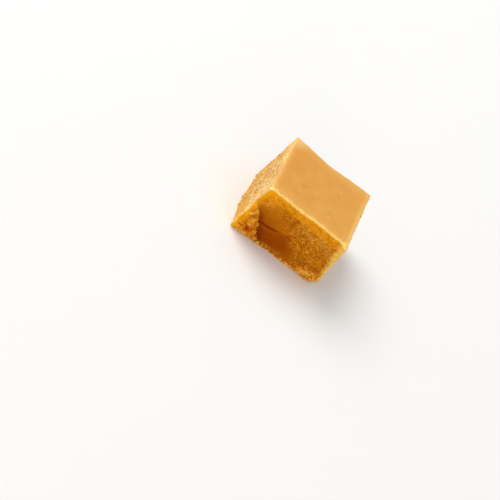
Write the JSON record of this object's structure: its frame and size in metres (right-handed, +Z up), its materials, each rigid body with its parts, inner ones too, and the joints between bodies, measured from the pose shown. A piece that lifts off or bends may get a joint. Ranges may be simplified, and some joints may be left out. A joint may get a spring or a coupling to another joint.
{
  "type": "fudge cube",
  "caption": "Knife-cut cube of crumbly caramel-coloured fudge with a smooth top, granular torn sides and a flat base.",
  "frame": {"origin": "centre of the part's bounding box in plan, on the flat base that it rests on", "axes": "+Z up through the smooth poured top; -Y faces the cut side with the smooth knife smear; +X to the right of that side"},
  "size_m": [0.0362, 0.033, 0.022],
  "materials": {
    "fudge": "satin, waxy smooth top with a dry granular crumb on the cut sides"
  },
  "bodies": {
    "root": {"fudge_cube": "fudge"}
  },
  "joints": []
}
